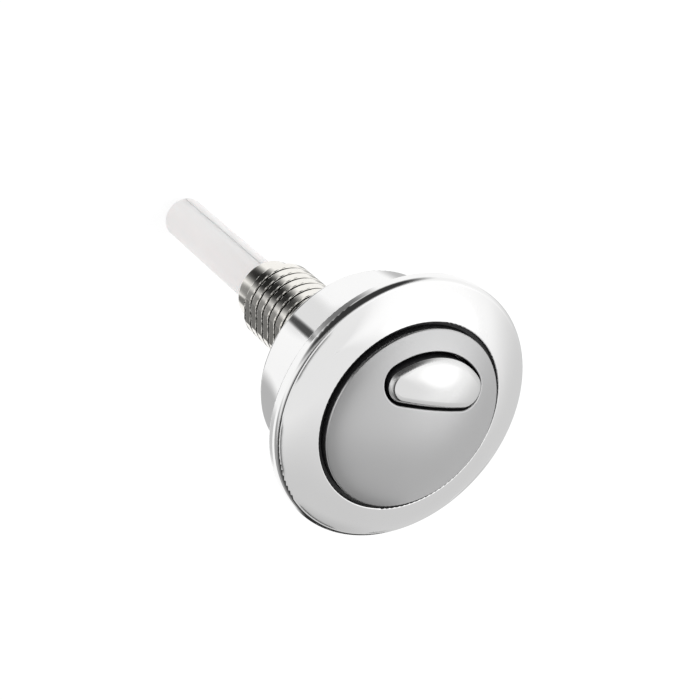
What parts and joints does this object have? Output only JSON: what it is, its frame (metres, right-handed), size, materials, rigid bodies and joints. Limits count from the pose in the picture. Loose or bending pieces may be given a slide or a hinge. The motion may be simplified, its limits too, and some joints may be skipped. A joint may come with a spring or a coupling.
{
  "type": "push button cistern actuator",
  "caption": "Dual flush push button for a cistern lid, with a round chromed flange and cup, a domed full button around an inset half button, a threaded shank and long plastic rods.",
  "frame": {"origin": "centre of the flange's underside, where the button sits on the cistern lid", "axes": "+Z along the button's axis, out of the face; +Y towards the half flush button"},
  "size_m": [0.062, 0.062, 0.1234],
  "materials": {
    "polished_chrome": "polished",
    "satin_chrome": "satin",
    "plated_brass": "nickel plated",
    "spring_steel": "drawn wire",
    "zinc_steel": "zinc plated",
    "sleeve_plastic": "moulded",
    "carrier_plastic": "moulded",
    "rod_plastic": "extruded"
  },
  "bodies": {
    "housing": {"cup_body": "polished_chrome", "threaded_shank": "plated_brass", "lock_washer": "zinc_steel", "shank_lock_nut": "zinc_steel", "guide_sleeve": "sleeve_plastic", "spring_seat": "zinc_steel", "full_return_spring": "spring_steel"},
    "full_flush": {"full_button": "satin_chrome", "button_carrier": "carrier_plastic", "carrier_screws": "zinc_steel", "full_flush_rod": "rod_plastic", "full_rod_pin": "zinc_steel", "half_return_spring": "spring_steel"},
    "half_flush": {"half_button": "polished_chrome", "half_plunger": "carrier_plastic", "plunger_screws": "zinc_steel", "half_flush_rod": "rod_plastic", "half_rod_pin": "zinc_steel"}
  },
  "joints": [
    {"name": "full_press", "type": "slide", "parent": "housing", "child": "full_flush", "axis": [0, 0, -1], "range_m": [0, 0.006], "stiffness_N_per_m": 400, "springref_m": -0.01, "deforming": ["full_return_spring"]},
    {"name": "half_press", "type": "slide", "parent": "full_flush", "child": "half_flush", "axis": [0, 0, -1], "range_m": [0, 0.0045], "stiffness_N_per_m": 250, "springref_m": -0.008, "deforming": ["half_return_spring"]}
  ]
}
